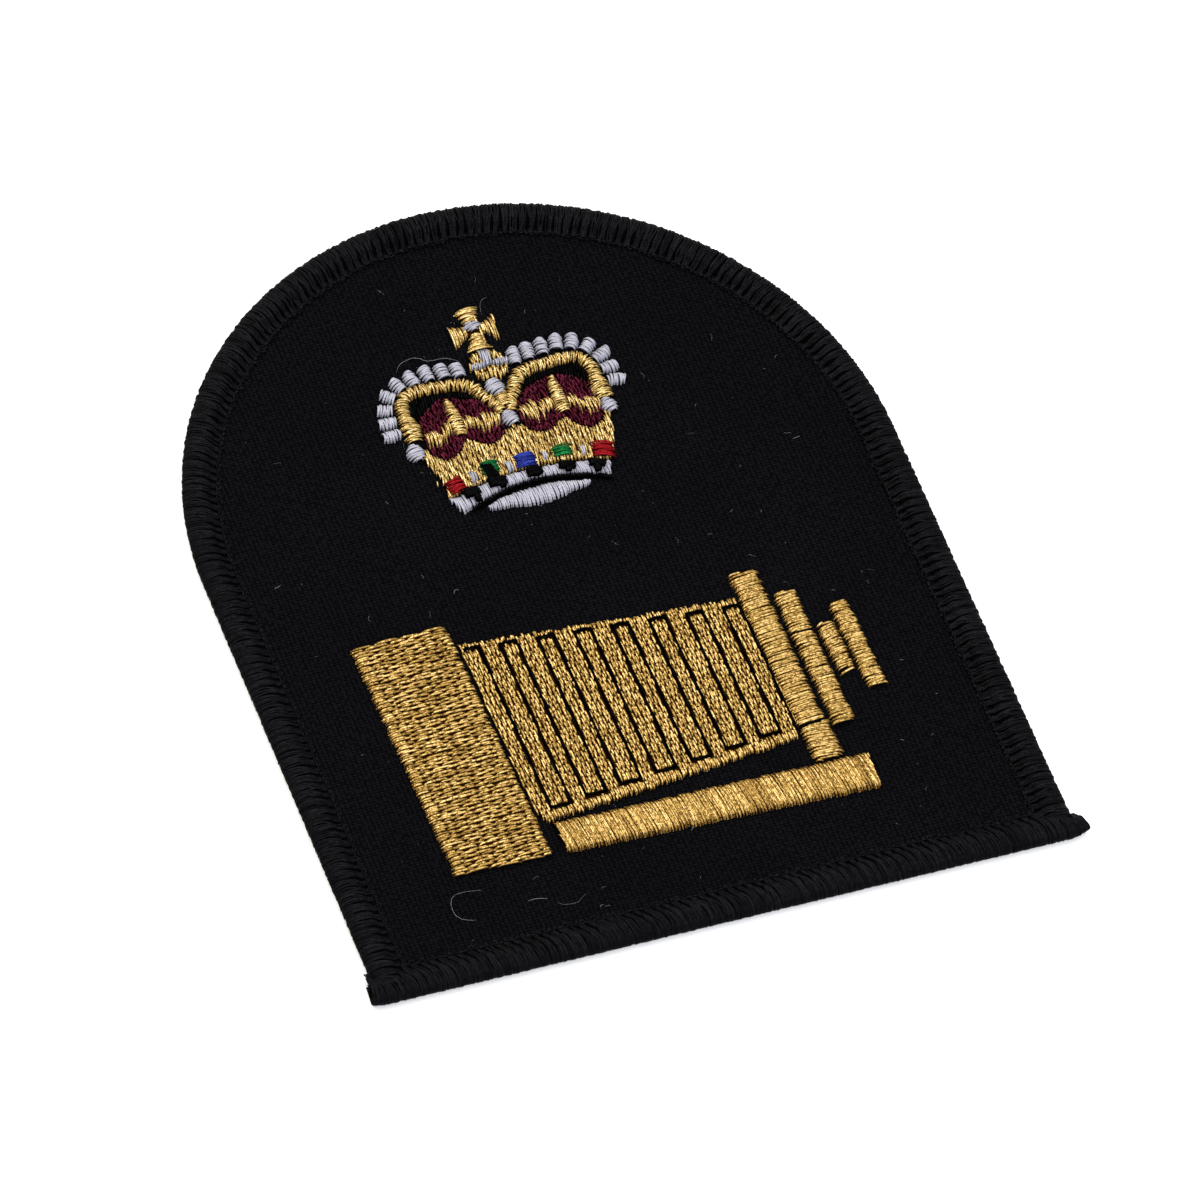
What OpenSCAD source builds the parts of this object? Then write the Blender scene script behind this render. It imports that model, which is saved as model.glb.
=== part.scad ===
/* [Badge] */
// Width across the straight sides
badge_w = 80; // [70:1:110]
// Height from the bottom edge to the top of the arch
badge_h = 95.5; // [92:0.5:130]
// Thickness of the ground cloth with its backing
cloth_t = 1; // [0.8:0.1:2]

/* [Border] */
// Width of the overlocked thread roll, seen from above
roll_w = 3.2; // [2:0.1:5]
// Height of the roll above the surface that the badge lies on
roll_h = 2.1; // [1.8:0.1:3]
// Thickness of the roll under the cloth
roll_under = 0.32; // [0.2:0.02:0.4]
// Depth of the thread outside the cloth's edge
roll_edge = 0.5; // [0.3:0.05:0.8]
// Length of the trimmed thread tail past each side
tail_len = 0.9; // [0.3:0.1:2]
// Radius of the trimmed thread tail
tail_r = 0.95; // [0.6:0.05:1]

/* [Embroidery] */
// Height of the filled areas above the cloth
fill_h = 0.5; // [0.3:0.05:0.8]
// Height of the satin bars above the cloth
satin_h = 0.65; // [0.4:0.05:1]
// Height of what is sewn over another area
over_h = 0.35; // [0.2:0.05:0.6]
// Height of the pearls and studs above the cloth
pearl_h = 0.85; // [0.5:0.05:1.2]
// Clearance between neighbouring areas
pad_gap = 0.05; // [0.02:0.01:0.1]

/* [Camera figure] */
// Number of folds that the bellows line shows
folds = 8; // [4:1:8]
// Distance from fold to fold
fold_pitch = 4.18; // [3:0.01:4.2]
// Width of each fold's top
fold_w = 1.85; // [1:0.05:2.5]
// Width of the black line
line_w = 0.4; // [0.2:0.02:0.6]
// Sideways lean of the fold lines from top to bottom
fold_lean = 0.3; // [0:0.05:0.4]

/* [Crown] */
// Width of a pearl along the arch
pearl_w = 1.55; // [1.2:0.05:1.6]
// Length of a pearl across the arch
pearl_l = 2.05; // [1.6:0.05:2.1]
// Radius of the orb
orb_r = 2.15; // [1.6:0.05:2.2]
// Height of the ermine band at its middle
band_h = 1.45; // [1.2:0.05:1.5]
// Drop of the ermine band's upper edge 10 mm from its middle
band_drop = 1.6; // [1.2:0.1:1.7]
// How much more the lower edge drops there
band_flare = 1.1; // [0.6:0.1:1.2]

/* [Hidden] */

$fn = 64;
half_w = badge_w / 2;
side_h = badge_h - half_w;
fit = 0.03;
cloth_top = cloth_t + fit;
over_base = cloth_top + fill_h + fit;
black = "#101218";
gold = "#c9a04a";
white = "#d8d6e0";
crimson = "#5a1528";

// Satin bars of the camera figure: foot x, foot y, top x, top y, width
standard_bar = [17.4, 21.65, 17.15, 41.9, 3.25];
stem_bar = [17.75, 16.8, 17.55, 21.35, 3.3];
panel_bar = [20.95, 20.8, 20.7, 32.75, 2.5];
panel_top_bar = [20.68, 33.05, 20.65, 38.3, 2.5];
barrel_bar = [23.55, 27.3, 23.5, 33.3, 2];
hood_bar = [26.2, 24.3, 25.8, 35.6, 2.2];

// The tables below were read from the photo in the plane of the badge's edge. The embroidery lies
// higher, so each figure is moved by this much to stand where the photo shows it.
camera_shift = [-0.25, -0.45];
crown_shift = [-0.2, -0.6];

// Corners of the filled areas of the camera figure: x, y
body_corners = [[-26.6, 13.3], [-15.6, 13.3], [-16.5, 43.8], [-27.45, 43.7]];
bellows_corners = [[-14.8, 17.2], [15.3, 20.1], [15.1, 38.95], [-15.95, 41.1], [-15.6, 23], [-15.25, 18.5]];
rail_corners = [[-13.95, 13.05], [21.6, 11.95], [21.8, 12.3], [21.8, 16.2], [21.5, 16.5], [-14.05, 17]];

// Bellows line: first fold's left side, heights of the first fold's two ends, and their change a fold
fold_x = -15.85;
fold_top = 40.4;
fold_top_step = -0.34;
fold_foot = 18.8;
fold_foot_step = 0.42;

// Line about which the two halves of the crown mirror each other
crown_mid = -0.15;

// Arch of the crown, right half, from the outer foot to the middle: x, y, half width
arch_rows = [
    [10.95, 67.6, 0.85], [10.85, 68.6, 1.05], [10.8, 69.5, 1.1], [10.85, 70.3, 0.9], [10.95, 71.1, 0.72],
    [10.85, 72.2, 0.72], [10.4, 73.2, 0.72], [9.5, 73.75, 0.68], [7.9, 73.95, 0.72], [5.8, 73.8, 0.72],
    [4, 73.6, 0.72], [3, 73.3, 0.72], [2.3, 72.7, 0.75], [1.9, 71.8, 0.72], [1.3, 70.9, 0.75],
    [0.75, 70.1, 0.7], [0.5, 69.3, 0.55], [0.5, 68.6, 0.45]
];

// Crimson cap, right half: x, y
cap_points = [
    [1.05, 69], [2, 70.4], [3, 71.3], [4.6, 71.75], [6.3, 72.15], [7.6, 71.7], [9, 70.8], [9.9, 69.8],
    [9.9, 68.5], [10, 67], [9.9, 65.7], [9.2, 64.9], [8.3, 64.5], [7.2, 64.8], [6.3, 65.6], [5.7, 66.35],
    [5, 66.3], [4.2, 65.6], [3.2, 65.25], [2, 65.5], [1.2, 66.1], [0.95, 67]
];

// Black shade over the cap, right half, before the cap and the arch are cut from it: x, y
shade_points = [
    [2.6, 70.4], [3.3, 72.2], [4.8, 73.4], [7, 73.6], [9.2, 73.3], [10.3, 72], [10.4, 70.4], [9.9, 69.2],
    [8.6, 70.2], [6.4, 71.4], [4.4, 71]
];

// Gold ornament over the cap, right half: x, y and half width of the spear, x, y of the rest
spear_rows = [
    [5.95, 71.65, 0.1], [5.9, 71.1, 0.3], [5.85, 70.6, 0.5], [5.85, 69.8, 0.6], [5.85, 69, 0.75],
    [5.85, 68.3, 0.8], [5.85, 67.4, 0.65], [5.85, 66.85, 0.4]
];
inner_leaf = [
    [5.15, 68.9], [4.3, 69.15], [3.6, 68.8], [3.15, 68.2], [3.05, 67.2], [3.35, 66.75], [3.7, 67.4],
    [4.2, 67.75], [5.15, 67.75]
];
outer_leaf = [
    [6.55, 68.8], [7.1, 68.9], [7.6, 68.6], [8.05, 67.9], [8.2, 67.3], [7.8, 66.6], [7.4, 67.3],
    [7, 67.6], [6.55, 67.6]
];
inner_tuft = [
    [1.05, 68.65], [1.6, 68.85], [2.3, 69.1], [2.6, 69.45], [2.85, 69.2], [3.15, 68], [2.85, 66.9],
    [2.65, 66.55], [2.3, 67.1], [1.6, 67.3], [1.05, 67.65]
];
outer_tuft = [
    [8.1, 67.6], [8.4, 68], [8.65, 68.2], [9.2, 68.1], [9.85, 67.8], [9.85, 66.5], [9.3, 66.4],
    [8.6, 66.2], [8.3, 66.1]
];

// Edges of the circlet from the ermine band up, and the peak in its middle: x, y
circlet_right = [[9.45, 61.4], [9.7, 62], [10.15, 63.3], [10.6, 66.2]];
circlet_peak = [[1, 66.6], [0, 67], [-1, 66.6]];
circlet_left = [[-11.15, 66.2], [-11.15, 65.2], [-10.8, 63.6], [-10.35, 62.1], [-10.2, 61.4]];

// Ermine band: its top, and x of its upper and lower corners from left to right
band_top = 61.12;
band_upper = [-10.3, 8.55];
band_lower = [-9.35, 7.9];
underside_points = [
    [-6.8, 57.35], [-5.45, 58.1], [-4.3, 58.4], [-2.55, 58.7], [-1, 58.8], [1.2, 58.85], [2.65, 58.65],
    [4, 58.3], [5.3, 57.95], [5.1, 57.4], [3.4, 57.25], [2.3, 56.9], [1, 56.65], [-0.45, 56.45],
    [-2.1, 56.6], [-3.9, 56.9], [-5.2, 57], [-6.2, 57.1]
];

// Cross over the orb, from the left of its top arm round to its left arm: x, y
cross_points = [
    [-0.6, 80.75], [-0.85, 81.7], [-1.5, 82.65], [1.5, 82.95], [1.15, 81.9], [1, 80.75],
    [1.35, 80.75], [2.75, 81.6], [2.45, 77.95], [1.35, 79.4], [0.8, 79.5], [0.9, 78.4], [1.4, 77.35],
    [-1.5, 77.35], [-0.95, 78.4], [-0.55, 79.5], [-1.25, 79.1], [-2.65, 77.9], [-2.75, 81.2], [-1.2, 80.65]
];
cross_y = 80.15;
orb_y = 75.2;
orb_x = 0.05;

// Jewels of the circlet: x, y, width, height, turn
jewels = [
    [-9.05, 60.8, 2, 1.75, 15], [-4.65, 62.15, 2.1, 1.5, 6], [-0.6, 62, 2.3, 1.8, 0],
    [3.7, 62.15, 2.1, 1.35, -3], [8.1, 61.15, 2.4, 1.95, -14]
];
jewel_colors = ["#b8141c", "#1e8a45", "#2e3fa0", "#1e8a45", "#b8141c"];

// White bars between the jewels: x, y, width, height
bars = [
    [-6.9, 61.45, 0.75, 1.5], [-2.65, 61.75, 0.65, 1.5], [1.6, 62.1, 0.5, 1.15], [5.9, 61.65, 0.55, 1.2]
];

// Ermine tails: x, y, width, height and turn of the head, x of the stem
tails = [
    [-7.8, 59.45, 1.75, 0.9, 8, -7.4], [-4.6, 60.05, 2, 0.95, 0, -4.15], [-0.25, 60.25, 1.7, 0.9, 0, -0.05],
    [3.5, 60.1, 1.8, 0.8, -15, 3.5], [6.8, 59.55, 1.75, 0.7, -20, 6.6]
];
tail_stem_w = 0.6;

// Studs: x, y, radius
stud_upper_row = [-0.3, 72.25, 1.02];
stud_middle_row = [-0.15, 67.9, 0.92];
stud_left_row = [-11.7, 66.15, 1.02];
stud_right_row = [10.95, 66.7, 0.9];

// Pearls from the orb outwards: x, y, turn
pearls_left = [
    [-3.5, 75.4, 4], [-5.2, 75.7, 8], [-7, 75.85, 8], [-8.8, 75.6, 16], [-10.5, 75, 26],
    [-12, 73.95, 50], [-13.05, 72.45, 76], [-13.35, 70.75, 90], [-13.5, 69.05, 96]
];
pearls_right = [
    [3.15, 75.6, -4], [4.8, 75.85, -4], [6.5, 76, -4], [8.25, 76.1, -12], [9.95, 75.75, -26],
    [11.45, 74.75, -44], [12.5, 73.3, -66], [12.85, 71.6, -86], [12.9, 69.85, -94]
];

// Point at t between b and c of a smooth curve through a, b, c and d
function curve_pt(a, b, c, d, t) =
    0.5 * (2 * b + (c - a) * t + (2 * a - 5 * b + 4 * c - d) * t * t + (3 * b - a - 3 * c + d) * t * t * t);

// Smooth closed outline through the points, n steps from point to point
function closed_curve(p, n = 4) = let (m = len(p)) [
    for (i = [0:m - 1], k = [0:n - 1])
        curve_pt(p[(i + m - 1) % m], p[i], p[(i + 1) % m], p[(i + 2) % m], k / n)
];

// Smooth open line through the points, n steps from point to point
function open_curve(p, n = 4) = let (m = len(p)) [
    for (i = [0:m - 2], k = [0:n - 1])
        curve_pt(p[max(i - 1, 0)], p[i], p[i + 1], p[min(i + 2, m - 1)], k / n),
    p[m - 1]
];

// Unit vector square to the line from a to b
function normal_of(a, b) = let (d = [b.x - a.x, b.y - a.y]) [-d.y, d.x] / norm(d);

// Edge of a ribbon at row i, on side s, grown by g
function ribbon_pt(p, i, s, g) =
    let (n = normal_of(p[max(i - 1, 0)], p[min(i + 1, len(p) - 1)]))
    [p[i].x, p[i].y] + s * (p[i].z + g) * n;

// Outline of a ribbon through rows of x, y and half width, grown by g
function ribbon(rows, g = 0) = let (p = open_curve(rows, 2), m = len(p)) concat(
    [for (i = [0:m - 1]) ribbon_pt(p, i, 1, g)],
    [for (i = [m - 1:-1:0]) ribbon_pt(p, i, -1, g)]
);

// Clockwise closed outline grown by g
function grown(p, g) = let (m = len(p)) [
    for (i = [0:m - 1]) p[i] + g * normal_of(p[(i + m - 1) % m], p[(i + 1) % m])
];

// Heights of the ermine band's upper and lower edge at x
function band_y(x) = band_top - band_drop * pow((x + 0.2) / 10, 2);
function band_foot_y(x) = band_top - band_h - (band_drop + band_flare) * pow(x / 10, 2);

// Steps from a to b
function steps(a, b, n) = [for (i = [0:n]) a + (b - a) * i / n];

// Rectangle of width w and length l with well rounded corners, of n points
function squircle(w, l, n = 20) = [
    for (i = [0:n - 1]) let (c = cos(360 * i / n), s = sin(360 * i / n))
        [w / 2 * sign(c) * sqrt(abs(c)), l / 2 * sign(s) * sqrt(abs(s))]
];

// Ellipse arc with half axes a and b about (cx, cy), from angle s to e in n steps
function arc_pts(cx, cy, a, b, s, e, n) = [
    for (i = [0:n]) let (t = s + (e - s) * i / n) [cx + a * cos(t), cy + b * sin(t)]
];

// Corner i of a line with mitred corners, on side s
function stroke_pt(p, i, s) =
    let (
        m = len(p) - 1,
        n0 = normal_of(p[max(i - 1, 0)], p[max(i, 1)]),
        n1 = normal_of(p[min(i, m - 1)], p[min(i + 1, m)])
    )
    p[i] + s * (n0 + n1) / (1 + n0 * n1);

// Outline of a line of width w with mitred corners
function stroke(p, w) = let (m = len(p)) concat(
    [for (i = [0:m - 1]) stroke_pt(p, i, w / 2)],
    [for (i = [m - 1:-1:0]) stroke_pt(p, i, -w / 2)]
);

// Corners of the bellows line at fold i: its top from left to right, then its foot
function fold_corners(i) =
    let (
        x = fold_x + i * fold_pitch,
        top = fold_top + i * fold_top_step,
        foot = fold_foot + i * fold_foot_step,
        right = x + fold_w
    )
    concat(
        [[x, top], [right, top], [right + fold_lean, foot]],
        i < folds - 1 ? [[x + fold_pitch + fold_lean, foot]] : []
    );

// Lays out what follows in heights above the badge's bottom edge
module from_foot(z = 0) {
    translate([0, -badge_h / 2, z]) children();
}

// Places and colours a piece of the camera figure
module camera_thread(c = gold) {
    color(c) translate(camera_shift) children();
}

// Places and colours a piece of the crown
module crown_thread(c = gold) {
    color(c) translate(crown_shift) children();
}

// Half of the crown: s is 0 for the right one and 1 for the left one
module half(s) {
    translate([crown_mid, 0]) mirror([s, 0]) translate([-crown_mid, 0]) children();
}

// Outline of the badge, moved in by inset
module badge_outline(inset) {
    translate([0, side_h]) circle(half_w - inset, $fn = 128);
    translate([inset - half_w, inset]) square([badge_w - 2 * inset, side_h - inset]);
}

// Cross-section of the thread roll: x runs out from the cloth, y up
module roll_section() {
    polygon(concat(
        arc_pts(-roll_w / 2, cloth_top, roll_w / 2, roll_h - cloth_top, 180, 0, 14),
        arc_pts(-0.9, cloth_top, 0.9, cloth_top, -12, -90, 6),
        [[-roll_w, 0], [-roll_w, roll_under], [-roll_edge, roll_under], [-roll_edge, cloth_top]]
    ));
}

// A flat area of height h
module pad(h, z = cloth_top) {
    from_foot(z) linear_extrude(h) children();
}

// A bar with a rounded top, from its foot to its top
module satin_bar(row, h = satin_h, z = cloth_top) {
    run = [row[2] - row[0], row[3] - row[1]];
    edge = h / 2;
    from_foot(z)
        translate([row[0], row[1], 0])
            rotate([0, 0, atan2(run.y, run.x) - 90])
                rotate([90, 0, 180])
                    linear_extrude(norm(run))
                        polygon(concat(
                            arc_pts(0, edge, row[4] / 2, h - edge, 0, 180, 10),
                            [[-row[4] / 2, 0], [row[4] / 2, 0]]
                        ));
}

// A round stud with a domed top
module stud(row) {
    from_foot(cloth_top)
        translate([row.x, row.y, 0])
            rotate_extrude()
                polygon(concat([[0, 0], [row.z, 0]], arc_pts(0, 0.2, row.z, pearl_h - 0.2, 0, 90, 8)));
}

// A pearl: a short barrel across the arch, with rounded corners
module pearl(row) {
    up = [-sin(row.z), cos(row.z)] * pearl_l / 2;
    crown_thread(white) intersection() {
        satin_bar([row.x - up.x, row.y - up.y, row.x + up.x, row.y + up.y, pearl_w], pearl_h);
        from_foot()
            linear_extrude(4) difference() {
                translate([row.x, row.y]) rotate(row.z) polygon(squircle(pearl_w, pearl_l));
                for (s = [0, 1]) half(s) arch_outline(pad_gap);
            }
    }
}

// Room that the studs take up in the areas round them
module stud_room() {
    for (row = [stud_upper_row, stud_middle_row, stud_left_row, stud_right_row])
        translate([row.x, row.y]) circle(row.z + pad_gap);
}

module ground_cloth() {
    color(black) {
        from_foot(roll_under + fit)
            linear_extrude(cloth_t - roll_under - fit) badge_outline(roll_edge + fit);
        from_foot() linear_extrude(cloth_t) badge_outline(roll_w + fit);
    }
}

module arch_border() {
    color(black) from_foot() {
        translate([0, side_h, 0])
            rotate_extrude(angle = 180, $fn = 128) translate([half_w, 0]) roll_section();
        for (s = [0, 1]) mirror([s, 0, 0])
            translate([half_w, side_h, 0]) rotate([90, 0, 0])
                linear_extrude(side_h - roll_w - fit) roll_section();
    }
}

module bottom_border() {
    color(black) from_foot() {
        translate([-half_w, 0, 0]) rotate([90, 0, 90])
            linear_extrude(badge_w) mirror([1, 0]) roll_section();
        for (s = [0, 1]) mirror([s, 0, 0])
            translate([half_w - 0.4, roll_w / 2, tail_r + 0.05]) rotate([0, 90, 0])
                rotate_extrude() polygon(concat(
                    [[0, 0], [tail_r, 0]],
                    arc_pts(0, tail_len + 0.4 - tail_r * 0.7, tail_r, tail_r * 0.7, 0, 90, 8)
                ));
    }
}

module camera_body() {
    camera_thread() pad(fill_h) polygon(body_corners);
}

module camera_bellows() {
    camera_thread() pad(fill_h) polygon(bellows_corners);
}

module bellows_line() {
    camera_thread(black) pad(over_h, over_base)
        polygon(stroke([for (i = [0:folds - 1], p = fold_corners(i)) p], line_w));
}

module front_standard() {
    camera_thread() satin_bar(standard_bar);
}

module standard_stem() {
    camera_thread() satin_bar(stem_bar);
}

module lens_panel() {
    camera_thread() satin_bar(panel_bar);
}

module lens_panel_top() {
    camera_thread() satin_bar(panel_top_bar);
}

module lens_barrel() {
    camera_thread() satin_bar(barrel_bar);
}

module lens_hood() {
    camera_thread() satin_bar(hood_bar);
}

module base_rail() {
    camera_thread() pad(satin_h) polygon(rail_corners);
}

module crown_cross() {
    crown_thread() pad(fill_h) polygon(cross_points);
}

module cross_jewel() {
    crown_thread(white) pad(over_h, over_base)
        translate([-0.05, cross_y]) polygon([[-1.05, 0], [-0.3, 0.6], [0.8, 0.5], [0.95, 0], [0, -0.5]]);
}

module crown_orb() {
    crown_thread() pad(fill_h) difference() {
        translate([orb_x, orb_y]) circle(orb_r);
        translate([-3, min([for (p = cross_points) p.y]) - pad_gap]) square(6);
        stud_room();
    }
}

module orb_band() {
    crown_thread(white) pad(over_h, over_base) translate([orb_x, orb_y]) intersection() {
        union() {
            translate([-orb_r, -0.4]) square([2 * orb_r, 0.7]);
            translate([-0.65, 0]) square([1.1, 1.9]);
        }
        circle(orb_r - pad_gap);
    }
}

// Right half of the crown's arches, grown by g
module arch_outline(g = 0) {
    intersection() {
        polygon(ribbon(arch_rows, g));
        translate([crown_mid + fit - g, 60]) square([20, 20]);
    }
}

// Right half of the crimson caps, grown by g
module cap_outline(g = 0) {
    polygon(grown(closed_curve(cap_points, 2), g));
}

module arch_pad(s) {
    crown_thread() pad(fill_h + 0.1) difference() {
        half(s) arch_outline();
        stud_room();
    }
}

module cap_pad(s) {
    crown_thread(crimson) pad(fill_h) difference() {
        half(s) cap_outline();
        stud_room();
        half(s) arch_outline(pad_gap);
    }
}

module shade_pad(s) {
    crown_thread(black) pad(fill_h / 2) half(s) difference() {
        polygon(closed_curve(shade_points));
        cap_outline(pad_gap);
        arch_outline(pad_gap);
    }
}

module ornament_pad(s) {
    crown_thread() pad(over_h, over_base) half(s) {
        polygon(ribbon(spear_rows));
        for (p = [inner_leaf, outer_leaf, inner_tuft, outer_tuft]) polygon(p);
    }
}

module arch_left() {
    arch_pad(1);
}

module arch_right() {
    arch_pad(0);
}

module cap_left() {
    cap_pad(1);
}

module cap_right() {
    cap_pad(0);
}

module shade_left() {
    shade_pad(1);
}

module shade_right() {
    shade_pad(0);
}

module ornament_left() {
    ornament_pad(1);
}

module ornament_right() {
    ornament_pad(0);
}

module circlet() {
    foot = [for (x = steps(band_upper[0], band_upper[1], 14)) [x, band_y(x) + pad_gap]];
    crown_thread() pad(fill_h) difference() {
        polygon(concat(foot, circlet_right, circlet_peak, circlet_left));
        stud_room();
        for (s = [0, 1]) half(s) {
            cap_outline(pad_gap);
            arch_outline(pad_gap);
        }
    }
}

module circlet_bars() {
    crown_thread(white) for (b = bars)
        satin_bar([b[0], b[1] - b[3] / 2, b[0], b[1] + b[3] / 2, b[2]], over_h, over_base);
}

// One jewel of the circlet
module jewel(i) {
    j = jewels[i];
    up = [-sin(j[4]), cos(j[4])] * j[3] / 2;
    crown_thread(jewel_colors[i])
        satin_bar([j[0] - up.x, j[1] - up.y, j[0] + up.x, j[1] + up.y, j[2]], over_h, over_base);
}

module red_jewel_left() {
    jewel(0);
}

module green_jewel_left() {
    jewel(1);
}

module blue_jewel() {
    jewel(2);
}

module green_jewel_right() {
    jewel(3);
}

module red_jewel_right() {
    jewel(4);
}

module ermine_band() {
    upper = [for (x = steps(band_upper[1], band_upper[0], 14)) [x, band_y(x)]];
    lower = [for (x = steps(band_lower[0], band_lower[1], 14)) [x, band_foot_y(x)]];
    crown_thread(white) pad(fill_h) polygon(concat(upper, lower));
}

module ermine_tails() {
    crown_thread(black) pad(over_h, over_base) for (t = tails) {
        foot = band_foot_y(t[5]);
        translate([t[0], t[1]]) rotate(t[4]) square([t[2], t[3]], center = true);
        translate([t[5] - tail_stem_w / 2, foot]) square([tail_stem_w, t[1] - foot]);
    }
}

module band_line() {
    upper = [for (x = steps(7.8, -8.3, 12)) [x, band_foot_y(x) - pad_gap]];
    lower = [for (x = steps(-8.3, 7.8, 12)) [x, band_foot_y(x) - pad_gap - 0.45]];
    crown_thread(black) pad(fill_h) polygon(concat(upper, lower));
}

module ermine_underside() {
    crown_thread(white) pad(fill_h) intersection() {
        polygon(closed_curve(underside_points, 2));
        polygon(concat(
            [for (x = steps(-8, 8, 12)) [x, band_foot_y(x) - 2 * pad_gap - 0.45]],
            [[8, 55], [-8, 55]]
        ));
    }
}

module stud_upper() {
    crown_thread(white) stud(stud_upper_row);
}

module stud_middle() {
    crown_thread(white) stud(stud_middle_row);
}

module stud_left() {
    crown_thread(white) stud(stud_left_row);
}

module stud_right() {
    crown_thread(white) stud(stud_right_row);
}

ground_cloth();
arch_border();
bottom_border();
camera_body();
camera_bellows();
bellows_line();
front_standard();
standard_stem();
lens_panel();
lens_panel_top();
lens_barrel();
lens_hood();
base_rail();
crown_cross();
cross_jewel();
crown_orb();
orb_band();
arch_left();
arch_right();
shade_left();
shade_right();
cap_left();
cap_right();
ornament_left();
ornament_right();
circlet();
circlet_bars();
red_jewel_left();
green_jewel_left();
blue_jewel();
green_jewel_right();
red_jewel_right();
ermine_band();
ermine_tails();
band_line();
ermine_underside();
stud_upper();
stud_middle();
stud_left();
stud_right();
for (i = [1:9]) {
    pearl(pearls_left[i - 1]);
    pearl(pearls_right[i - 1]);
}
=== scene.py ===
import math
import random
from functools import partial

import bpy
import bmesh
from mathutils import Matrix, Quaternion, Vector


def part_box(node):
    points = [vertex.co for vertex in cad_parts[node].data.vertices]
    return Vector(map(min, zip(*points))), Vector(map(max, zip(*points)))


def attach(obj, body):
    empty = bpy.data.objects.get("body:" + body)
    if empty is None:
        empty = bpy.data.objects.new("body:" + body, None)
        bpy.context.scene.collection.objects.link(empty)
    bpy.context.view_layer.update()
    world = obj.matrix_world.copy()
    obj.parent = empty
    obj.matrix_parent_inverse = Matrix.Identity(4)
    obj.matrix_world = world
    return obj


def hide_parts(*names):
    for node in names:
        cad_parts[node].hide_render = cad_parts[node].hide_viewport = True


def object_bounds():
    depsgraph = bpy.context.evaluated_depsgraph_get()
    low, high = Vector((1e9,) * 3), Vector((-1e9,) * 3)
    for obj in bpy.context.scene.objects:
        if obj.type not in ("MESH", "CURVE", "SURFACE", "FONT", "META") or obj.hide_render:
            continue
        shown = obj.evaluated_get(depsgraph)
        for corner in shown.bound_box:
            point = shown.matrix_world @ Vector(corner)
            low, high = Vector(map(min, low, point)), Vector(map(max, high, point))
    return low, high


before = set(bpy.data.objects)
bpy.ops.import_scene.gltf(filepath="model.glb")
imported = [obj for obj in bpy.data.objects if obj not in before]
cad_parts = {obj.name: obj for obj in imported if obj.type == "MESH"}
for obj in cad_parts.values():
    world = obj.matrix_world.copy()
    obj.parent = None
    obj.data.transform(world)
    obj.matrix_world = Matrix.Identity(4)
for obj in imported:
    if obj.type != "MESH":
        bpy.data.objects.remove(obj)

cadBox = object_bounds()
mm = 0.001
footY = cadBox[0].y                          # the badge's bottom edge
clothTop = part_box("ground_cloth")[1].z


# Colours, nodes and small helpers

def linear(code):
    parts = [int(code[i:i + 2], 16) / 255 for i in (1, 3, 5)]
    return tuple(c / 12.92 if c <= 0.04045 else ((c + 0.055) / 1.055) ** 2.4 for c in parts) + (1.0,)


def addNode(tree, kind, inputs=(), **settings):
    # a kind in capitals is the operation of a Math node; an input is a value, a socket, a node, of which the
    # first enabled output is linked, or a list of those
    if kind.isupper():
        kind, settings["operation"] = "ShaderNodeMath", kind
    node = tree.nodes.new(kind)
    for name, value in settings.items():
        setattr(node, name, value)
    for key, given in inputs.items() if isinstance(inputs, dict) else enumerate(inputs):
        for value in given if isinstance(given, list) else [given]:
            if isinstance(value, bpy.types.Node):
                value = next(socket for socket in value.outputs if socket.enabled)
            if isinstance(value, bpy.types.NodeSocket):
                tree.links.new(value, node.inputs[key])
            else:
                node.inputs[key].default_value = value
    return node


def openNodes(owner):
    owner.use_nodes = True
    owner.node_tree.nodes.clear()
    return partial(addNode, owner.node_tree)


def openMaterial(name):
    material = bpy.data.materials.new(name)
    return material, openNodes(material)


def closeMaterial(add, inputs):
    surface = add("ShaderNodeBsdfPrincipled", inputs)
    add("ShaderNodeOutputMaterial", {"Surface": surface})


def newObject(name, data):
    thing = bpy.data.objects.new(name, data)
    bpy.context.scene.collection.objects.link(thing)
    return thing


def onCloth(points, z):
    # points in mm across and up from the bottom edge, as vectors in metres
    return [Vector((x * mm, footY + y * mm, z)) for x, y in points]


# Camera, light and floor

# in degrees and mm, fitted to the badge's outline in the photo; aim is across and up from the bottom edge
view = {"azimuth": -31.55, "elevation": 54.37, "roll": 13.33, "distance": 1612.6, "aim": (1.16, 43.0),
        "lens": 450.0}


def placeCamera():
    a, e = math.radians(view["azimuth"]), math.radians(view["elevation"])
    back = Vector((math.sin(a) * math.cos(e), -math.cos(a) * math.cos(e), math.sin(e)))
    camera = newObject("camera", bpy.data.cameras.new("camera"))
    camera.rotation_mode = "QUATERNION"
    turn = Quaternion((0, 0, 1), math.radians(view["roll"]))
    camera.rotation_quaternion = (-back).to_track_quat("-Z", "Y") @ turn
    camera.location = onCloth([view["aim"]], 0)[0] + back * view["distance"] * mm
    camera.data.lens = view["lens"]
    camera.data.sensor_width = 36.0
    camera.data.clip_start, camera.data.clip_end = 0.01, 20.0
    bpy.context.scene.camera = camera


def addSoftbox(name, spot, size, power, tint):
    # a square lamp that faces the badge; spot and size are in metres and power in watts
    lamp = bpy.data.lights.new(name, "AREA")
    lamp.size, lamp.energy, lamp.color = size, power, linear(tint)[:3]
    light = newObject(name, lamp)
    light.location = spot
    light.rotation_mode = "QUATERNION"
    light.rotation_quaternion = (Vector() - Vector(spot)).to_track_quat("-Z", "Y")


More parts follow.
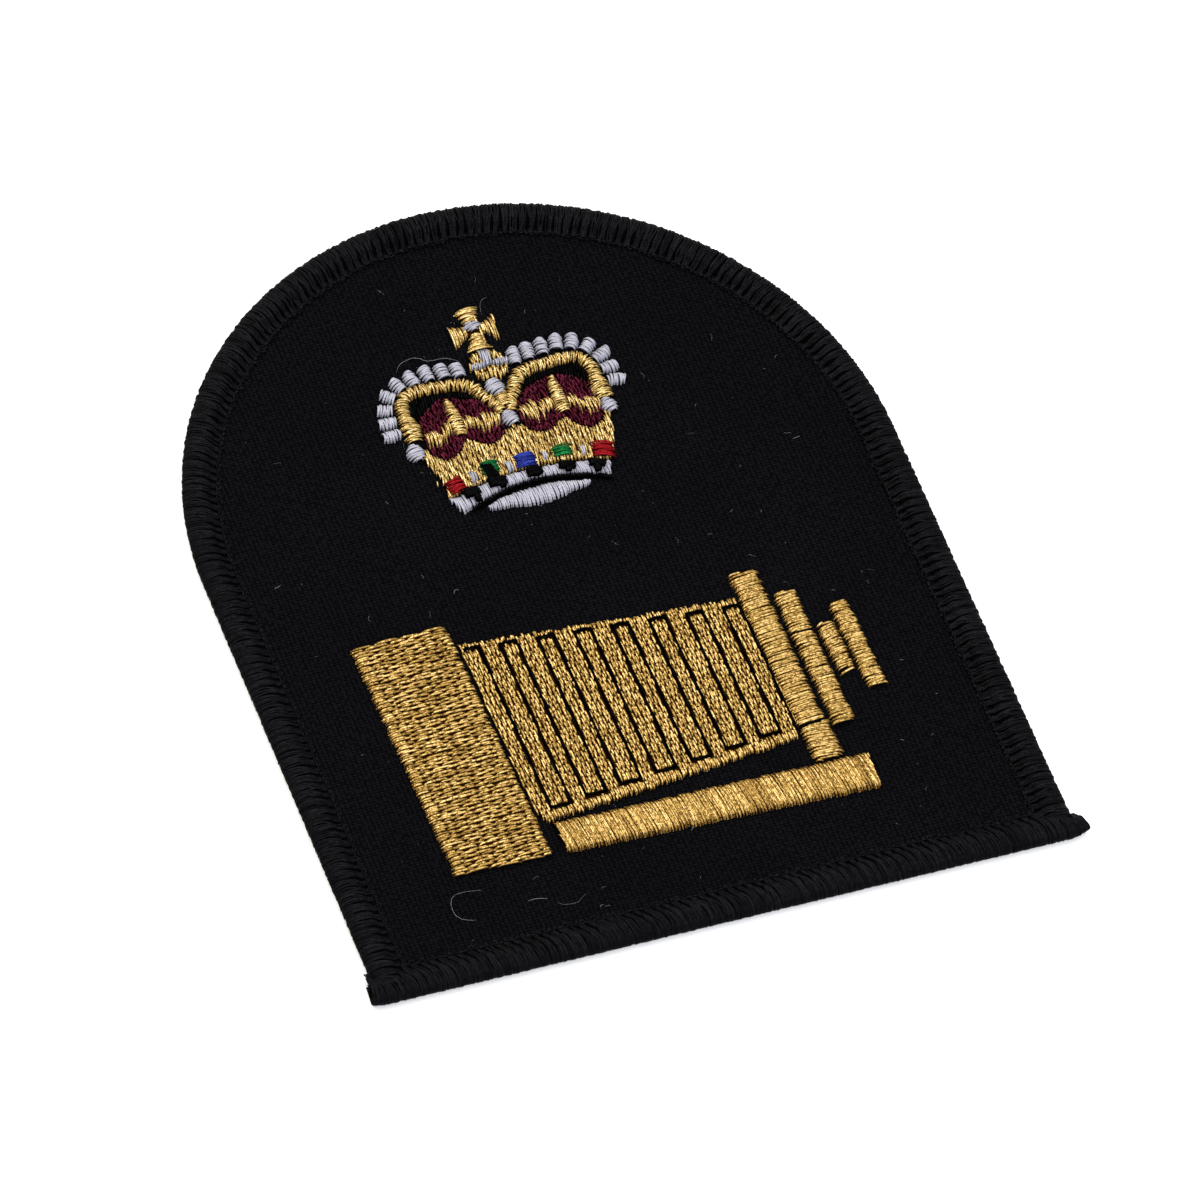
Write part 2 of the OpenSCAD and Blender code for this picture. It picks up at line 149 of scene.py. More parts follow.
def lightStudio():
    addSoftbox("keySoftbox", (-0.55, 0.75, 1.05), 0.6, 17.0, "#fffaf2")
    addSoftbox("fillSoftbox", (0.35, -0.95, 0.9), 0.9, 14.0, "#f8f9ff")
    addSoftbox("topSoftbox", (0.0, 0.0, 1.7), 1.6, 14.0, "#ffffff")
    world = bpy.data.worlds.new("studioAir")
    bpy.context.scene.world = world
    add = openNodes(world)
    sky = add("ShaderNodeBackground", {"Color": linear("#f2f4f8"), "Strength": 0.6})
    add("ShaderNodeOutputWorld", {"Surface": sky})
    bpy.context.scene.view_settings.view_transform = "Standard"


def layFloor():
    reach = 6.0
    mesh = bpy.data.meshes.new("floor")
    corners = [(x * reach, y * reach, 0) for x, y in ((-1, -1), (1, -1), (1, 1), (-1, 1))]
    mesh.from_pydata(corners, [], [(0, 1, 2, 3)])
    floor = newObject("floor", mesh)
    floor.location.z = cadBox[0].z - 0.02 * mm
    material, add = openMaterial("paleStudioCard")
    closeMaterial(add, {"Base Color": linear("#fbfbfa"), "Roughness": 0.9, "Specular IOR Level": 0.2})
    mesh.materials.append(material)


placeCamera()
lightStudio()
layFloor()
print("camera, light and floor are set")


# Materials: dyed threads and the ground cloth

def dyedThread(name, slot, dark, body, bright, roughness=0.5, metallic=0.0, specular=0.1, fleck=0.4,
               side=0.5):
    # a thread is its material and the name of its CAD slot, which this script gives to no piece; fleck is how
    # deep its streaks are, side how bright it stays down its sides
    material, add = openMaterial(name)
    tone, along, around, strand = [add("ShaderNodeAttribute", attribute_name=word).outputs["Fac"]
                                   for word in ("tone", "along", "around", "strand")]
    # the two plies wind round each other once in about 0.7 mm
    laid = add("DIVIDE", (along, 0.7 * mm))
    wound = add("ADD", (laid, around))
    angle = add("MULTIPLY", (wound, 4 * math.pi))
    ply = add("SINE", (angle,))
    # the light breaks up along each thread in streaks about a third of a millimetre long
    length = add("DIVIDE", (along, 0.33 * mm))
    place = add("ShaderNodeCombineXYZ", (length, strand, around))
    noise = add("ShaderNodeTexNoise", {"Vector": place, "Scale": 1.0, "Detail": 2.0}).outputs["Fac"]
    streak = {"Value": noise, "From Min": 0.38, "From Max": 0.56, "To Min": 1.0 - fleck, "To Max": 1.0}
    streak = add("ShaderNodeMapRange", streak)
    # the streaks are painted into the colour: painted glints along each thread with darker breaks between
    # them
    shade = add("MULTIPLY", (tone, streak))
    # each thread is darker down its sides, where its neighbours shade it
    normal = add("ShaderNodeNewGeometry").outputs["Normal"]
    upward = add("ShaderNodeSeparateXYZ", (normal,)).outputs["Z"]
    flank = {"Value": upward, "From Min": 0.25, "From Max": 0.95, "To Min": side, "To Max": 1.0}
    flank = add("ShaderNodeMapRange", flank)
    shade = add("MULTIPLY", (shade, flank))
    # the plies' twist also paints a faint highlight and shade along each thread
    shade = add("MULTIPLY_ADD", (ply, 0.06, shade))
    # the ramp runs from dark, the thread's colour in painted shade, through body, its own colour, to bright,
    # its colour in painted highlight
    ramp = add("ShaderNodeValToRGB", (shade,))
    stops = ramp.color_ramp.elements
    stops[0].position, stops[0].color = 0.08, linear(dark)
    stops[1].position, stops[1].color = 1.0, linear(bright)
    stops.new(0.55).color = linear(body)
    bump = add("ShaderNodeBump", {"Height": ply, "Strength": 0.4, "Distance": 0.05 * mm})
    gloss = add("MULTIPLY", (shade, specular))
    closeMaterial(add, {"Base Color": ramp, "Normal": bump, "Roughness": roughness, "Metallic": metallic,
                        "Specular IOR Level": gloss})
    return material, slot


foil = {"roughness": 0.36, "metallic": 0.35, "specular": 0.4}

# Metallised polyester embroidery thread: foil-bright glints along each stitch, and painted brown shade in the
# gaps
goldThread = dyedThread("oldGoldLurexThread", "gold_thread", "#2a1505", "#ae8840", "#f8d68c",
                        fleck=0.62, side=0.38, **foil)
# The crown is sewn with the same thread in a yellower, brighter tone
brightGold = dyedThread("brightGoldLurexThread", "gold_thread", "#341b06", "#be9c56", "#ffeaac",
                        fleck=0.55, side=0.4, **foil)
# Viscose rayon threads: silky, each stitch with a soft light along its middle
whiteThread = dyedThread("whiteRayonThread", "white_thread", "#4c4b54", "#908f99", "#acabb5",
                         roughness=0.6, fleck=0.2, side=0.7)
crimsonThread = dyedThread("crimsonRayonThread", "crimson_thread", "#0c0104", "#3a0a18", "#641830",
                           fleck=0.55, side=0.45)
redThread = dyedThread("redRayonThread", "red_thread", "#200103", "#740a12", "#a4161f")
greenThread = dyedThread("greenRayonThread", "green_thread", "#021a0a", "#0c5426", "#1a8844")
blueThread = dyedThread("blueRayonThread", "blue_thread", "#040820", "#1c2872", "#3646aa")
blackThread = dyedThread("blackRayonThread", "black_thread", "#010101", "#030304", "#08080a",
                         roughness=0.55, specular=0.04, side=0.4)
# Black polyester overlock thread: matt, with only a faint light on the roll
edgeThread = dyedThread("blackOverlockThread", "border_thread", "#040405", "#0a0a0c", "#151519",
                        roughness=0.6, specular=0.07)

# Black wool-and-polyester plain weave, about 19 warp ends and 28 picks to the centimetre: a matt grain of
# small raised crossings under a fine nap
weave = {"warp": 0.515, "pick": 0.36, "dark": "#010102", "pale": "#0b0b0e"}      # mm from thread to thread


def groundClothMaterial():
    material, add = openMaterial("blackPlainWeaveCloth")
    place = add("ShaderNodeTexCoord").outputs["Object"]
    axes = add("ShaderNodeSeparateXYZ", (place,))
    warp = add("DIVIDE", (axes.outputs["X"], weave["warp"] * mm))
    pick = add("DIVIDE", (axes.outputs["Y"], weave["pick"] * mm))
    cells, waves = [], []
    for count in (warp, pick):
        cells.append(add("FLOOR", (count,)))
        part = add("FRACT", (count,))
        arc = add("MULTIPLY", (part, math.pi))
        waves.append(add("SINE", (arc,)))
    # every other crossing lies higher, where the warp passes over the weft
    crossing = add("ADD", cells)
    over = add("PINGPONG", (crossing, 1.0))
    depth = add("MULTIPLY_ADD", (over, 0.4, 0.6))
    crown = add("MULTIPLY", waves)
    height = add("MULTIPLY", (crown, depth))
    # the nap's fibres are about half a millimetre long, and the cloth's wear lies in clouds of some 17 mm
    nap, cloud = [add("ShaderNodeTexNoise", {"Vector": place, "Scale": scale, "Detail": 3.0}).outputs["Fac"]
                  for scale in (2200.0, 60.0)]
    nap = add("ShaderNodeMapRange", {"Value": nap, "From Min": 0.34, "From Max": 0.66})
    # the colour follows the nap's grain, and the weave's height paints the raised crossings paler, a painted
    # highlight on their tops
    tone = add("MULTIPLY_ADD", (nap, 0.6, height))
    ramp = add("ShaderNodeValToRGB", (tone,))
    stops = ramp.color_ramp.elements
    stops[0].position, stops[0].color = 0.35, linear(weave["dark"])
    stops[1].position, stops[1].color = 1.0, linear(weave["pale"])
    wear = add("MULTIPLY_ADD", (cloud, 0.8, 0.6))
    colour = add("ShaderNodeVectorMath", {0: ramp, "Scale": wear}, operation="SCALE")
    relief = add("MULTIPLY_ADD", (nap, 0.5, height))
    bump = add("ShaderNodeBump", {"Height": relief, "Strength": 0.7, "Distance": 0.12 * mm})
    closeMaterial(add, {"Base Color": colour, "Normal": bump, "Roughness": 0.9, "Specular IOR Level": 0.03})
    return material


blackCloth = groundClothMaterial()
print("materials are mixed")


# Geometry Nodes: one thread along each stitch

def openTree(name, sockets):
    # sockets has the names of the inputs of each kind
    tree = bpy.data.node_groups.new(name, "GeometryNodeTree")
    for kind, words in sockets.items():
        for word in words.split():
            tree.interface.new_socket(word, in_out="INPUT", socket_type="NodeSocket" + kind)
    tree.interface.new_socket("Geometry", in_out="OUTPUT", socket_type="NodeSocketGeometry")
    add = partial(addNode, tree)
    return tree, add, add("NodeGroupInput").outputs


def closeTree(add, given, line, ring, scale):
    # the thread along the lines and the padding under it leave the tree as one mesh
    swept = {"Curve": line, "Profile Curve": ring, "Scale": scale, "Fill Caps": True}
    mesh = add("GeometryNodeCurveToMesh", swept)
    # the padding carries no tone, so the thread's material paints it in its darkest colour, as painted shade
    # in the gaps between stitches
    padding = add("GeometryNodeObjectInfo", {"Object": given["Core"]}).outputs["Geometry"]
    smooth = add("GeometryNodeSetShadeSmooth", {"Geometry": mesh})
    whole = add("GeometryNodeJoinGeometry", ([padding, smooth],))
    whole = add("GeometryNodeRealizeInstances", {"Geometry": whole})
    whole = add("GeometryNodeSetMaterial", {"Geometry": whole, "Material": given["Material"]})
    add("NodeGroupOutput", {"Geometry": whole})


def threadSection(add, sides):
    # the thread's cross-section, which knows how far round it each point is
    ring = add("GeometryNodeCurvePrimitiveCircle", {"Resolution": sides, "Radius": 0.5})
    turn = add("GeometryNodeSplineParameter").outputs["Factor"]
    ring = {"Geometry": ring, "Name": "around", "Value": turn}
    return add("GeometryNodeStoreNamedAttribute", ring)


def threadTree():
    tree, add, given = openTree("threadAlongStitches", {
        "Geometry": "Geometry", "Object": "Core", "Material": "Material", "Int": "Steps Sides Seed",
        "Float": "Width Height Rise Dip Roundness Wobble Dullest"})
    line = add("GeometryNodeMeshToCurve", {"Mesh": given["Geometry"]})
    line = add("GeometryNodeResampleCurve", {"Curve": line, "Count": given["Steps"]})
    spline = add("GeometryNodeSplineParameter")
    # bend is 0 at a stitch's ends, where it goes into the cloth, and 1 along its middle
    swing = add("MULTIPLY_ADD", (spline.outputs["Factor"], 2.0, -1.0))
    swing = add("ABSOLUTE", (swing,))
    swing = add("POWER", (swing, given["Roundness"]))
    bend = add("SUBTRACT", (1.0, swing))
    reach = add("ADD", (given["Rise"], given["Dip"]))
    lift = add("MULTIPLY", (bend, reach))
    lift = add("SUBTRACT", (lift, given["Dip"]))
    stitch = add("GeometryNodeCurveOfPoint").outputs["Curve Index"]
    draws = {}
    kinds = (("stray", -1.0, 1.0), ("tone", given["Dullest"], 1.0), ("fullness", 0.85, 1.1),
             ("strand", 0.0, 90.0))
    for k, (word, low, high) in enumerate(kinds):
        seed = add("ADD", (given["Seed"], 3.0 * k))
        drawn = {"Min": low, "Max": high, "ID": stitch, "Seed": seed}
        draws[word] = add("FunctionNodeRandomValue", drawn).outputs["Value"]
    way = add("GeometryNodeInputTangent")
    side = add("ShaderNodeVectorMath", (way, (0.0, 0.0, 1.0)), operation="CROSS_PRODUCT")
    bow = add("MULTIPLY", (bend, given["Wobble"]))
    bow = add("MULTIPLY", (bow, draws["stray"]))
    side = add("ShaderNodeVectorMath", {0: side, "Scale": bow}, operation="SCALE")
    upward = add("ShaderNodeCombineXYZ", {"Z": lift})
    offset = add("ShaderNodeVectorMath", (side, upward), operation="ADD")
    line = add("GeometryNodeSetPosition", {"Geometry": line, "Offset": offset})
    # painted shade: each stitch's tone is halved towards its ends, where it dips into the cloth; the random
    # tone itself is the thread's own
    endShade = add("MULTIPLY_ADD", (bend, 0.5, 0.5))
    tone = add("MULTIPLY", (draws["tone"], endShade))
    for word, value in (("tone", tone), ("along", spline.outputs["Length"]), ("strand", draws["strand"])):
        stored = {"Geometry": line, "Name": word, "Value": value}
        line = add("GeometryNodeStoreNamedAttribute", stored)
    line = add("GeometryNodeSetCurveNormal", {"Curve": line}, mode="Z_UP")
    flat = add("ShaderNodeCombineXYZ", (given["Width"], given["Height"], 1.0))
    ring = threadSection(add, given["Sides"])
    ring = add("GeometryNodeTransform", {"Geometry": ring, "Scale": flat})
    taper = add("POWER", (bend, 0.5))
    taper = add("MULTIPLY_ADD", (taper, 0.35, 0.65))
    taper = add("MULTIPLY", (taper, draws["fullness"]))
    closeTree(add, given, line, ring, taper)
    return tree


def runTree(name, wires, tree, values):
    source = newObject(name + "_plan", wires)
    modifier = source.modifiers.new("nodes", "NODES")
    modifier.node_group = tree
    for item in tree.interface.items_tree:
        if item.in_out == "INPUT" and item.name in values:
            modifier[item.identifier] = values[item.name]
    source.update_tag()
    graph = bpy.context.evaluated_depsgraph_get()
    whole = source.evaluated_get(graph)
    mesh = bpy.data.meshes.new_from_object(whole, preserve_all_data_layers=True, depsgraph=graph)
    mesh.name = name
    # the wires and the objects that the tree read have done their work
    for helper in [source] + [value for value in values.values() if isinstance(value, bpy.types.Object)]:
        bpy.data.objects.remove(helper)
    return newObject(name, mesh)


threadNodes = threadTree()


def wireMesh(name, lines):
    points, edges = [], []
    for line in lines:
        first = len(points)
        points += [tuple(p) for p in line]
        edges += [(first + i, first + i + 1) for i in range(len(line) - 1)]
    mesh = bpy.data.meshes.new(name)
    mesh.from_pydata(points, edges, [])
    return mesh


# Outlines of the CAD areas, and the stitches that fill them

def mergedCopy(node):
    net = bmesh.new()
    net.from_mesh(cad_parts[node].data)
    bmesh.ops.remove_doubles(net, verts=net.verts, dist=0.002 * mm)
    net.normal_update()
    return net


def outlineOf(node):
    # the edges where the top of the CAD area ends
    net = mergedCopy(node)
    edges = []
    for edge in net.edges:
        rising = [face for face in edge.link_faces if face.normal.z > 0.05]
        if len(rising) == 1:
            edges.append(tuple(v.co.xy.copy() for v in edge.verts))
    net.free()
    return edges


def turned(p, angle):
    c, s = math.cos(angle), math.sin(angle)
    return Vector((p[0] * c - p[1] * s, p[0] * s + p[1] * c))


def crossings(edges, height):
    found = []
    for p, q in edges:
        if (p.y > height) != (q.y > height):
            found.append(p.x + (height - p.y) * (q.x - p.x) / (q.y - p.y))
    return sorted(found)


# What an area's own dictionary leaves out is taken from here; lengths in mm, angles in degrees
stitching = {
    # the rows, and the length of their stitches, or None for satin rows, which are one stitch each
    "angle": 0.0, "pitch": 0.3, "stitch": None,
    # rows until the stitches' ends line up again, and the shortest row that is sewn
    "brick": 3, "least": 0.25,
    # how unevenly the rows lie, and how far past the outline and below the top their ends are
    "slant": 0.0, "ragged": 0.06, "loose": 0.03, "spread": 0.0, "below": 0.13,
    # one thread, its bow over the cloth, its stray, and the tone of the dullest
    "width": 0.26, "height": 0.19, "rise": 0.05, "dip": 0.3, "roundness": 5.0, "wobble": 0.04,
    "dullest": 0.55, "steps": 6, "sides": 5,
    # how far the padding keeps below and inside the CAD area
    "sink": 0.28, "inset": 0.3,
}


def fillArea(edges, z, plan, keep=None):
    # rows of stitches across an outline; keep says by its middle whether a stitch stays
    plan = stitching | plan
    ragged, spread, loose, stitch = [plan[word] for word in ("ragged", "spread", "loose", "stitch")]
    draw = random.Random(plan["seed"])
    turn = math.radians(plan["angle"])
    flat = [(turned(p, -turn), turned(q, -turn)) for p, q in edges]
    low = min(min(p.y, q.y) for p, q in flat)
    high = max(max(p.y, q.y) for p, q in flat)
    count = max(1, round((high - low) / (plan["pitch"] * mm)))
    lines = []
    for row in range(count):
        height = low + (high - low) * (row + 0.5) / count + draw.uniform(-loose, loose) * mm
        marks = crossings(flat, height)
        for left, right in zip(marks[::2], marks[1::2]):
            if right - left < plan["least"] * mm:
                continue
            left += (draw.uniform(-ragged, ragged) - spread) * mm
            right += (draw.uniform(-ragged, ragged) + spread) * mm
            cuts = [left, right]
            # a row longer than about a stitch and a third is cut into stitches
            if stitch and right - left > 1.35 * stitch * mm:
                step = stitch * mm
                at = (math.floor(left / step) + (row % plan["brick"]) / plan["brick"]) * step
                while at < right:
                    if left + 0.3 * step < at < right - 0.3 * step:
                        cuts.append(at + draw.uniform(-1, 1) * (0.05 + 5 * loose) * mm)
                    at += step
                cuts.sort()
            for a, b in zip(cuts, cuts[1:]):
                lean = (plan["slant"] * (1 if row % 2 else -1) + draw.uniform(-2, 2) * loose) * mm
                p, q = turned((a, height - lean / 2), turn), turned((b, height + lean / 2), turn)
                if keep is None or keep((p + q) / 2):
                    lines.append((Vector((p.x, p.y, z)), Vector((q.x, q.y, z))))
    return lines


def smoothPath(points, step=0.1):
    # evenly spaced points, in metres, on a smooth curve through points given in mm above the bottom edge
    rows = [Vector((x * mm, footY + y * mm)) for x, y in points]
    dense = []
    for i in range(len(rows) - 1):
        a, b, c, d = rows[max(i - 1, 0)], rows[i], rows[i + 1], rows[min(i + 2, len(rows) - 1)]
        for k in range(24):
            t = k / 24
            dense.append(0.5 * (2 * b + (c - a) * t + (2 * a - 5 * b + 4 * c - d) * t * t
                                + (3 * b - a - 3 * c + d) * t ** 3))
    dense.append(rows[-1])
    path, left = [dense[0]], step * mm
    for a, b in zip(dense, dense[1:]):
        reach = (b - a).length
        while reach >= left:
            a = a + (b - a) * left / reach
            path.append(a)
            reach = (b - a).length
            left = step * mm
        left -= reach
    return path


def rayTo(edges, start, way, limit):
    # how far the nearest edge is that way, up to the limit
    nearest = limit
    for p, q in edges:
        side = q - p
        det = way.x * -side.y + way.y * side.x
        if abs(det) < 1e-14:
            continue
        gap = p - start
        t = (gap.x * -side.y + gap.y * side.x) / det
        u = (way.x * gap.y - way.y * gap.x) / det
        if 0 <= u <= 1 and 0 < t < nearest:
            nearest = t
    return nearest


def followPath(edges, z, points, plan):
    # satin stitches square to a path, each as wide as the area is there; where the area is open to a side,
    # the last width goes on
    draw = random.Random(plan["seed"])
    slant, ragged, widest = plan["slant"], plan["ragged"], plan["widest"] * mm
    path = smoothPath(points, plan["pitch"])
    lines, reached = [], None
    for i, spot in enumerate(path):
        way = (path[min(i + 1, len(path) - 1)] - path[max(i - 1, 0)]).normalized()
        side = Vector((-way.y, way.x))
        side = (side + way * draw.uniform(-slant, slant)).normalized()
        a, b = [rayTo(edges, spot, way, widest) for way in (side, -side)]
        if max(a, b) < widest:
            reached = (a, b)
        elif reached is None:
            continue
        a, b = [part + (draw.uniform(-ragged, ragged) + plan["spread"]) * mm for part in reached]
        p, q = spot + side * a, spot - side * b
        lines.append((Vector((p.x, p.y, z)), Vector((q.x, q.y, z))))
    return lines


def coreOf(node, sink, inset):
    # the padding under the stitches: the CAD area, a little lower and narrower
    net = mergedCopy(node)
    low = min(v.co.z for v in net.verts)
    high = max(v.co.z for v in net.verts)
    for vert in net.verts:
        outward = Vector((vert.normal.x, vert.normal.y, 0))
        if outward.length > 0.2:
            vert.co -= outward.normalized() * inset * mm
        rise = (vert.co.z - low) / (high - low)
        vert.co.z -= sink * mm * rise
    mesh = bpy.data.meshes.new(node + "_core")
    net.to_mesh(mesh)
    net.free()
    return newObject(node + "_core", mesh)


made = []


def handOver(piece, node=None):
    # every piece rides the badge's one body; node is the CAD solid that it stands for
    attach(piece, "root")
    if node:
        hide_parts(node)
    return piece


def sew(node, lines, plan, padded=True):
    # threads along the lines; where they are padded they stand for the CAD node of that name
    plan = stitching | plan
    material, slot = plan["thread"]
    values = {word.title(): plan[word] * mm for word in ("width", "height", "rise", "dip", "wobble")}
    values |= {word.title(): plan[word] for word in ("roundness", "dullest", "steps", "sides")}
    values |= {"Seed": len(made) * 11 + 5, "Material": material}
    if padded:
        values["Core"] = coreOf(node, plan["sink"], plan["inset"])
    piece = runTree(node + "_thread", wireMesh(node, lines), threadNodes, values)
    made.append(handOver(piece, node if padded else None))


def topOf(node, plan):
    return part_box(node)[1].z - (stitching | plan)["below"] * mm


def sewArea(node, plan, extra=()):
    rows = fillArea(outlineOf(node), topOf(node, plan), plan)
    sew(node, rows + list(extra), plan)


# Camera figure

cameraBody = {"thread": goldThread, "seed": 3, "angle": 1.0, "pitch": 0.28, "stitch": 2.5, "brick": 2,
              "slant": 0.05, "ragged": 0.15, "loose": 0.06, "wobble": 0.08, "width": 0.285, "height": 0.22}
bellows = {"thread": goldThread, "seed": 5, "angle": 93.0, "pitch": 0.25, "stitch": 1.5, "brick": 2,
           "ragged": 0.22, "loose": 0.04, "wobble": 0.08, "dullest": 0.7}
satinBar = {"thread": goldThread, "pitch": 0.21, "slant": 0.11, "ragged": 0.17, "loose": 0.04, "below": 0.25,
            "rise": 0.12, "dip": 0.34, "roundness": 6.0, "steps": 11, "wobble": 0.07, "width": 0.24,
            "dullest": 0.66,
            "angles": {"front_standard": 5, "standard_stem": -4, "lens_panel": 3, "lens_panel_top": 4,
                       "lens_barrel": 9, "lens_hood": 3},
            "looseStitch": [(22.5, 26.15), (24.3, 26.65)]}      # under the lens barrel
barSplit = {"thread": blackThread, "below": 0.16, "width": 0.24, "rise": 0.02, "dip": 0.1, "wobble": 0.0,
            "steps": 10,
            "paths": [[(15.45, 21.0), (17.2, 21.1), (18.9, 21.4)],
                      [(19.2, 32.4), (20.5, 32.42), (21.85, 32.62)]]}
baseRail = {"thread": goldThread, "seed": 31, "angle": 98.0, "pitch": 0.18, "slant": 0.07, "ragged": 0.12,
            "loose": 0.015, "below": 0.22, "rise": 0.12, "dip": 0.38, "roundness": 7.0, "steps": 12,
            "wobble": 0.05, "width": 0.23, "dullest": 0.5}


def sewCameraFigure():
    sewArea("camera_body", cameraBody)
    area = outlineOf("camera_bellows") + outlineOf("bellows_line")
    sew("camera_bellows", fillArea(area, topOf("camera_bellows", bellows), bellows), bellows)
    for i, (node, angle) in enumerate(satinBar["angles"].items()):
        plan = satinBar | {"angle": angle, "seed": 20 + i}
        extra = [onCloth(satinBar["looseStitch"], topOf(node, plan))] if node == "lens_barrel" else []
        sewArea(node, plan, extra)
    # one black stitch lies in each split across the bars
    z = topOf("front_standard", barSplit)
    sew("bar_splits", [onCloth(path, z) for path in barSplit["paths"]], barSplit, False)
    sewArea("base_rail", baseRail)


# The black line over the bellows is running stitch, sunk between the gold stitches

bellowsLine = {"thread": blackThread, "folds": 8, "left": -16.1, "step": 4.18, "across": 1.85, "lean": 0.3,
               "top": 39.95, "topStep": -0.34, "foot": 18.35, "footStep": 0.42, "length": 1.9, "corner": 0.3,
               "stray": 0.06, "below": 0.08, "width": 0.28, "height": 0.24, "rise": 0.03, "dip": 0.12,
               "sink": 0.5, "inset": 0.1, "wobble": 0.18}


def sewBellowsLine():
    b = bellowsLine
    corners = []
    for i in range(b["folds"]):
        x, top, foot = b["left"] + i * b["step"], b["top"] + i * b["topStep"], b["foot"] + i * b["footStep"]
        corners += [(x, top), (x + b["across"], top), (x + b["across"] + b["lean"], foot)]
        if i < b["folds"] - 1:
            corners.append((x + b["step"] + b["lean"], foot))
    # the thread takes each corner in two bends
    bends = corners[:1]
    for before, corner, after in zip(corners, corners[1:], corners[2:]):
        for x, y in (before, after):
            part = b["corner"] / math.hypot(x - corner[0], y - corner[1])
            bends.append((corner[0] + (x - corner[0]) * part, corner[1] + (y - corner[1]) * part))
    bends.append(corners[-1])
    draw = random.Random(8)
    lines = []
    for (x0, y0), (x1, y1) in zip(bends, bends[1:]):
        count = max(1, round(math.hypot(x1 - x0, y1 - y0) / b["length"]))
        spots = [(x0 + (x1 - x0) * k / count + draw.uniform(-1, 1) * b["stray"], y0 + (y1 - y0) * k / count)
                 for k in range(count + 1)]
        lines += [onCloth(pair, topOf("camera_bellows", b)) for pair in zip(spots, spots[1:])]
    sew("bellows_line", lines, b)


sewCameraFigure()
sewBellowsLine()
print("camera figure is sewn")


# Crown: its halves mirror about the middle, and the paths are in mm above the badge's bottom edge

crownMiddle = -0.35
halves = ((-1, "left"), (1, "right"))


def placed(points, side):
    return [(crownMiddle + side * (x - crownMiddle), y) for x, y in points]


arch = {"thread": brightGold, "below": 0.2, "pitch": 0.19, "widest": 1.5, "slant": 0.4, "ragged": 0.14,
        "spread": 0.06, "rise": 0.14, "dip": 0.38, "roundness": 2.8, "steps": 8, "width": 0.2, "wobble": 0.08,
        "path": [(10.75, 66.9), (10.6, 68.9), (10.75, 70.5), (10.6, 71.7), (10.15, 72.6), (9.3, 73.15),
                 (7.7, 73.35), (5.6, 73.2), (3.8, 73.0), (2.8, 72.7), (2.1, 72.1), (1.7, 71.2), (1.1, 70.3),
                 (0.55, 69.5), (0.3, 68.7), (0.3, 68.0)]}
notch = {"foot": 69.0, "rows": 10, "pitch": 0.2, "left": -1.0, "right": 0.6, "rise": 0.1, "below": 0.28}


def sewArches():
    for side, word in halves:
        node, plan = "arch_" + word, arch | {"seed": 40 + side}
        rows = followPath(outlineOf(node), topOf(node, plan), placed(arch["path"], side), plan)
        if side < 0:
            # stitches straight across fill the notch where the arches meet
            for k in range(notch["rows"]):
                y = notch["foot"] + notch["pitch"] * k
                ends = [(notch["left"], y), (notch["right"], y + notch["rise"])]
                rows.append(onCloth(ends, topOf(node, notch)))
        sew(node, rows, plan)


cap = {"thread": crimsonThread, "angle": 96.0, "pitch": 0.23, "stitch": 0.9, "slant": 0.16, "ragged": 0.08,
       "loose": 0.09, "width": 0.23, "wobble": 0.1}
shade = {"thread": blackThread, "angle": 80.0, "stitch": 1.6, "brick": 2, "ragged": 0.04, "below": 0.1,
         "dip": 0.1, "sink": 0.1}


def sewCaps():
    for side, word in halves:
        sewArea("cap_" + word, cap | {"seed": 50 + side})
        sewArea("shade_" + word, shade | {"seed": 60 + side})


ornament = {"thread": brightGold, "below": 0.14, "rise": 0.08, "dip": 0.35, "roundness": 3.0, "inset": 0.35,
            "width": 0.21, "wobble": 0.08}
spear = {"pitch": 0.19, "widest": 0.95, "slant": 0.3, "ragged": 0.12, "spread": 0.14, "half": 0.72,
         "path": [(5.75, 71.0), (5.65, 70.0), (5.65, 66.3)]}
scroll = {"pitch": 0.21, "slant": 0.14, "ragged": 0.2, "loose": 0.05, "spread": 0.16}


def sewOrnaments():
    for side, word in halves:
        node = "ornament_" + word
        area, z = outlineOf(node), topOf(node, ornament)
        path = placed(spear["path"], side)
        middle = path[-1][0]
        rows = followPath(area, z, path, spear | {"seed": 70 + side})
        rows += fillArea(area, z, scroll | {"angle": 90.0 + 6.0 * side, "seed": 74 + side},
                         lambda p: abs(p.x - middle * mm) > spear["half"] * mm)
        sew(node, rows, ornament)


band = {
    "circlet": {"thread": brightGold, "seed": 90, "angle": 88.0, "pitch": 0.19, "stitch": 1.9, "brick": 5,
                "slant": 0.12, "ragged": 0.12, "spread": 0.04, "wobble": 0.09, "width": 0.22, "dip": 0.2,
                "dullest": 0.42},
    "ermine_band": {"thread": whiteThread, "seed": 91, "angle": 97.0, "pitch": 0.22, "slant": 0.08,
                    "ragged": 0.1, "below": 0.2, "roundness": 4.0, "rise": 0.08, "dip": 0.35, "dullest": 0.8},
    "ermine_underside": {"thread": whiteThread, "seed": 92, "angle": 92.0, "pitch": 0.24, "slant": 0.08,
                         "ragged": 0.08, "below": 0.2, "roundness": 4.0, "rise": 0.1, "dip": 0.35,
                         "dullest": 0.8},
    "band_line": {"thread": blackThread, "seed": 93, "angle": 60.0, "pitch": 0.22, "slant": 0.05,
                  "ragged": 0.1, "below": 0.1, "roundness": 2.5, "dip": 0.35, "inset": 0.1},
    "ermine_tails": {"thread": blackThread, "seed": 94, "angle": 4.0, "pitch": 0.15, "slant": 0.05,
                     "spread": 0.08, "below": -0.08, "rise": 0.1, "dip": 0.15, "sink": 0.0, "inset": 0.0},
    "circlet_bars": {"thread": whiteThread, "seed": 95, "angle": 90.0, "pitch": 0.24, "slant": 0.1,
                     "ragged": 0.12, "below": 0.15, "roundness": 2.5, "rise": 0.08},
}
